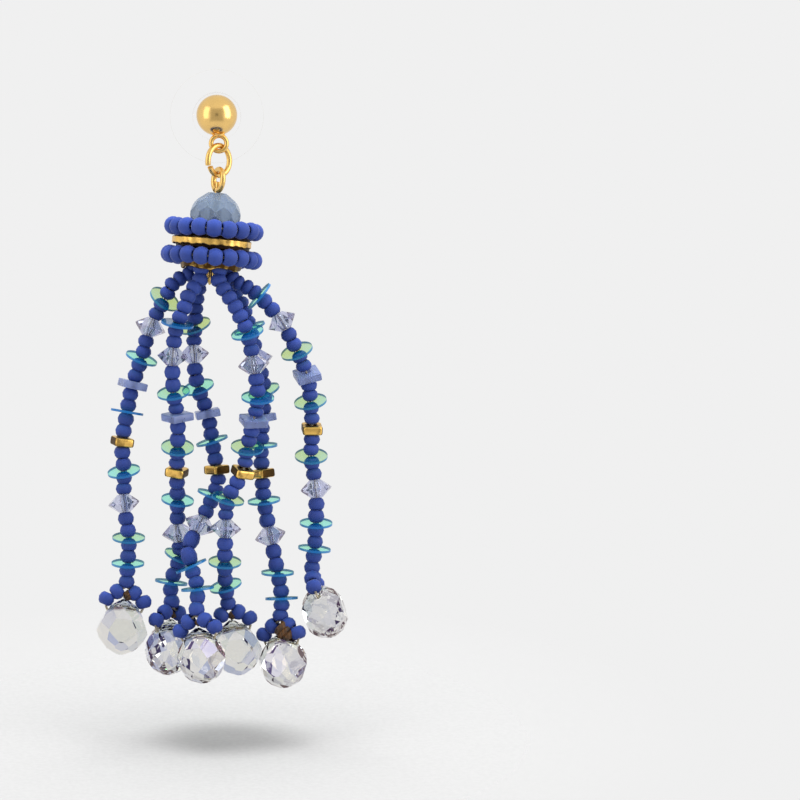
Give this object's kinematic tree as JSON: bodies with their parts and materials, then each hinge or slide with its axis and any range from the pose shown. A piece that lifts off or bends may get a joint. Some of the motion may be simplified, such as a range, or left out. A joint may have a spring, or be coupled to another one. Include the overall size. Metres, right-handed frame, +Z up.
{
  "type": "tassel earring",
  "caption": "Post earring with a ball stud, a jump ring, a beaded head and long strands of matte seed beads, sequins and crystals, each ending in a faceted drop.",
  "frame": {"origin": "on the post's axis at the back of the ball, where the earring pins through an ear", "axes": "+Z up, -Y the front of the ball, +Y along the post behind the ear, +X to the viewer's right from the front"},
  "size_m": [0.0314, 0.0216, 0.0775],
  "materials": {
    "gold_metal": "polished gold plate",
    "antiqued_gold": "gold plate with dark antiqued recesses",
    "post_steel": "bare drawn wire",
    "clear_plastic": "clear moulded plastic",
    "seed_glass": "opaque matte periwinkle blue",
    "milky_glass": "milky blue-grey, cut and polished",
    "crystal_glass": "clear cut glass with a faint iridescent coat",
    "square_glass": "translucent periwinkle, polished",
    "sequin_film": "iridescent film, green to azure",
    "thread": "twisted beading thread"
  },
  "bodies": {
    "stud": {"ball_stud": "gold_metal"},
    "clutch": {"clutch_disc": "clear_plastic", "clutch_barrel": "gold_metal"},
    "link": {"jump_ring": "gold_metal"},
    "tassel": {"eye_pin": "gold_metal", "rondelle_bead": "milky_glass", "upper_bead_ring": "seed_glass", "gold_spacer_disc": "gold_metal", "lower_bead_ring": "seed_glass", "bead_cap": "antiqued_gold", "strand_1": "seed_glass", "upper_bicone_1": "crystal_glass", "lower_bicone_1": "crystal_glass", "glass_square_1": "square_glass", "gold_square_1": "antiqued_gold", "drop_1": "crystal_glass", "strand_2": "seed_glass", "upper_bicone_2": "crystal_glass", "lower_bicone_2": "crystal_glass", "glass_square_2": "square_glass", "gold_square_2": "antiqued_gold", "drop_2": "crystal_glass", "strand_3": "seed_glass", "upper_bicone_3": "crystal_glass", "lower_bicone_3": "crystal_glass", "glass_square_3": "square_glass", "gold_square_3": "antiqued_gold", "drop_3": "crystal_glass", "strand_4": "seed_glass", "upper_bicone_4": "crystal_glass", "lower_bicone_4": "crystal_glass", "glass_square_4": "square_glass", "gold_square_4": "antiqued_gold", "drop_4": "crystal_glass", "strand_5": "seed_glass", "upper_bicone_5": "crystal_glass", "lower_bicone_5": "crystal_glass", "glass_square_5": "square_glass", "gold_square_5": "antiqued_gold", "drop_5": "crystal_glass", "strand_6": "seed_glass", "upper_bicone_6": "crystal_glass", "lower_bicone_6": "crystal_glass", "glass_square_6": "square_glass", "gold_square_6": "antiqued_gold", "drop_6": "crystal_glass"}
  },
  "joints": [
    {"name": "clutch_slide", "type": "slide", "parent": "stud", "child": "clutch", "axis": [0, 1, 0], "range_m": [0, 0.0055]},
    {"name": "link_swing", "type": "hinge", "parent": "stud", "child": "link", "pos_m": [0.00026, -0.00256, -0.00381], "axis": [0.7071, 0.7071, 0], "range_deg": [-30, 30]},
    {"name": "tassel_swing", "type": "hinge", "parent": "link", "child": "tassel", "pos_m": [0.0003, -0.00256, -0.00677], "axis": [0.4211, -0.9063, -0.0354], "range_deg": [-30, 30]}
  ]
}
